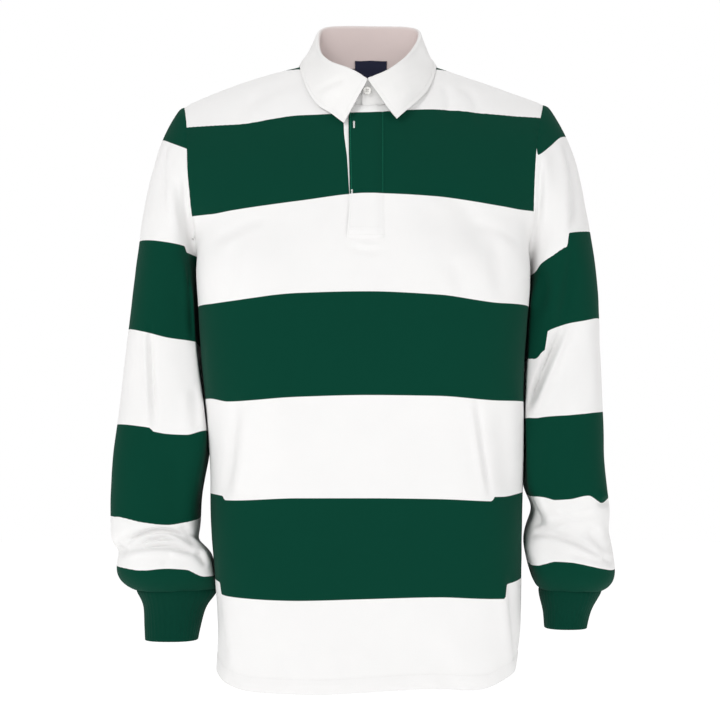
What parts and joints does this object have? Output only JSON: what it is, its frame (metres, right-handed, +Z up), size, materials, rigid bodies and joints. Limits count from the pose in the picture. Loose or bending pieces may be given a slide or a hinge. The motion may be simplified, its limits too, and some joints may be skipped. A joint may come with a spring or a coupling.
{
  "type": "rugby shirt filled out with no wearer",
  "caption": "Long-sleeved rugby shirt in wide white and green hoops, with a folded white collar, a buttoned placket and ribbed cuffs, filled out as if worn.",
  "frame": {"origin": "midway between the two shoulder-neck points, where the shirt hangs from its wearer's shoulders", "axes": "+Z up, -Y the shirt's front, +X the wearer's left"},
  "size_m": [0.6007, 0.2549, 0.8171],
  "materials": {
    "striped_jersey": "heavy cotton jersey in white hoops, with dark green hoops of the same width between them",
    "white_twill": "matt white cotton twill",
    "green_rib": "matt dark green rib knit",
    "white_rubber": "smooth satin white rubber button",
    "navy_label": "plain woven navy label with nothing on it"
  },
  "bodies": {
    "root": {"front": "striped_jersey", "back": "striped_jersey", "sleeve_right": "striped_jersey", "sleeve_left": "striped_jersey", "placket_upper": "striped_jersey", "placket_under": "white_twill", "collar": "white_twill", "cuff_right": "green_rib", "cuff_left": "green_rib", "collar_button": "white_rubber", "neck_label": "navy_label"}
  },
  "joints": []
}
